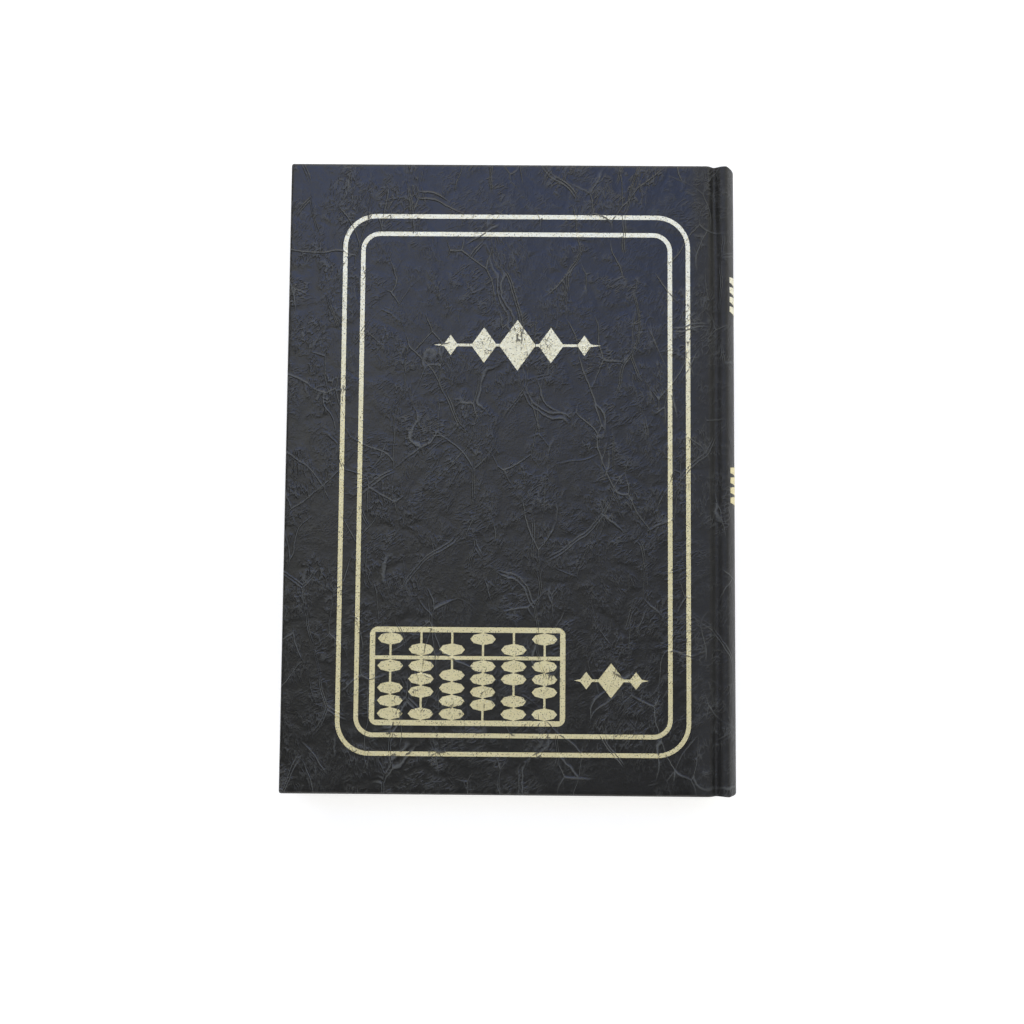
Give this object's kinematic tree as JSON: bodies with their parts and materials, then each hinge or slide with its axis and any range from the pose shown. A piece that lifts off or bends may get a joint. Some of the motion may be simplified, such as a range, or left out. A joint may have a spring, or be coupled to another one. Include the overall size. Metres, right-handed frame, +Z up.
{
  "type": "hardcover accounting ledger",
  "caption": "Case-bound ledger in black leatherette with a gold foil double-rule border, rounded spine, joint grooves, sewn sections and covers that open on their joints.",
  "frame": {"origin": "under the middle of the closed book, on the face of the back cover that it lies on", "axes": "+Z up through the front cover, +X towards the spine, +Y towards the head of the book"},
  "size_m": [0.1726, 0.241, 0.0222],
  "materials": {
    "grey_board": "bare greyboard",
    "leatherette": "crinkled black leatherette, semi-matt",
    "gold_foil": "pale gold hot-stamped foil, worn through along the grain",
    "endpaper": "heavy white paper",
    "ledger_paper": "ruled ledger paper",
    "mull_cloth": "open starched gauze",
    "lining_paper": "kraft paper",
    "linen_thread": "waxed linen thread",
    "band_cotton": "woven cotton band, striped"
  },
  "bodies": {
    "book_block": {"section_06": "ledger_paper", "section_07": "ledger_paper", "section_08": "ledger_paper", "section_09": "ledger_paper", "section_10": "ledger_paper", "stitch_1": "linen_thread", "stitch_2": "linen_thread", "stitch_3": "linen_thread", "stitch_4": "linen_thread", "stitch_5": "linen_thread", "spine_mull": "mull_cloth", "spine_lining": "lining_paper", "head_band": "band_cotton", "tail_band": "band_cotton", "back_flyleaf": "endpaper", "spine_inlay": "grey_board", "spine_covering": "leatherette", "foil_spine_upper": "gold_foil", "foil_spine_lower": "gold_foil"},
    "front_cover": {"front_board": "grey_board", "front_covering": "leatherette", "front_mull_flap": "mull_cloth", "front_pastedown": "endpaper", "foil_border_outer": "gold_foil", "foil_border_inner": "gold_foil", "foil_title_ornament": "gold_foil", "foil_corner_flourish": "gold_foil", "foil_counting_frame": "gold_foil"},
    "front_endpaper": {"front_flyleaf": "endpaper"},
    "back_cover": {"back_board": "grey_board", "back_covering": "leatherette", "back_mull_flap": "mull_cloth", "back_pastedown": "endpaper"},
    "leaves_01": {"section_01": "ledger_paper"},
    "leaves_02": {"section_02": "ledger_paper"},
    "leaves_03": {"section_03": "ledger_paper"},
    "leaves_04": {"section_04": "ledger_paper"},
    "leaves_05": {"section_05": "ledger_paper"}
  },
  "joints": [
    {"name": "front_cover_hinge", "type": "hinge", "parent": "book_block", "child": "front_cover", "pos_m": [0.08205, 0, 0.02212], "axis": [0, 1, 0], "range_deg": [0, 179.5]},
    {"name": "back_cover_hinge", "type": "hinge", "parent": "book_block", "child": "back_cover", "pos_m": [0.08205, 0, 0], "axis": [0, -1, 0], "range_deg": [0, 179.5]},
    {"name": "front_flyleaf_turn", "type": "hinge", "parent": "book_block", "child": "front_endpaper", "pos_m": [0.08205, 0, 0.02212], "axis": [0, 1, 0], "range_deg": [0, 178.01]},
    {"name": "section_01_turn", "type": "hinge", "parent": "book_block", "child": "leaves_01", "pos_m": [0.08205, 0, 0.02212], "axis": [0, 1, 0], "range_deg": [0, 176.76]},
    {"name": "section_02_turn", "type": "hinge", "parent": "book_block", "child": "leaves_02", "pos_m": [0.08205, 0, 0.02212], "axis": [0, 1, 0], "range_deg": [0, 175.51]},
    {"name": "section_03_turn", "type": "hinge", "parent": "book_block", "child": "leaves_03", "pos_m": [0.08205, 0, 0.02212], "axis": [0, 1, 0], "range_deg": [0, 174.26]},
    {"name": "section_04_turn", "type": "hinge", "parent": "book_block", "child": "leaves_04", "pos_m": [0.08205, 0, 0.02212], "axis": [0, 1, 0], "range_deg": [0, 173.01]},
    {"name": "section_05_turn", "type": "hinge", "parent": "book_block", "child": "leaves_05", "pos_m": [0.08205, 0, 0.02212], "axis": [0, 1, 0], "range_deg": [0, 171.76]}
  ],
  "couplings": [
    {"joint": "front_flyleaf_turn", "follows": "front_cover_hinge", "ratio": 0.99164},
    {"joint": "section_01_turn", "follows": "front_cover_hinge", "ratio": 0.98468},
    {"joint": "section_02_turn", "follows": "front_cover_hinge", "ratio": 0.97772},
    {"joint": "section_03_turn", "follows": "front_cover_hinge", "ratio": 0.97075},
    {"joint": "section_04_turn", "follows": "front_cover_hinge", "ratio": 0.96379},
    {"joint": "section_05_turn", "follows": "front_cover_hinge", "ratio": 0.95683}
  ]
}
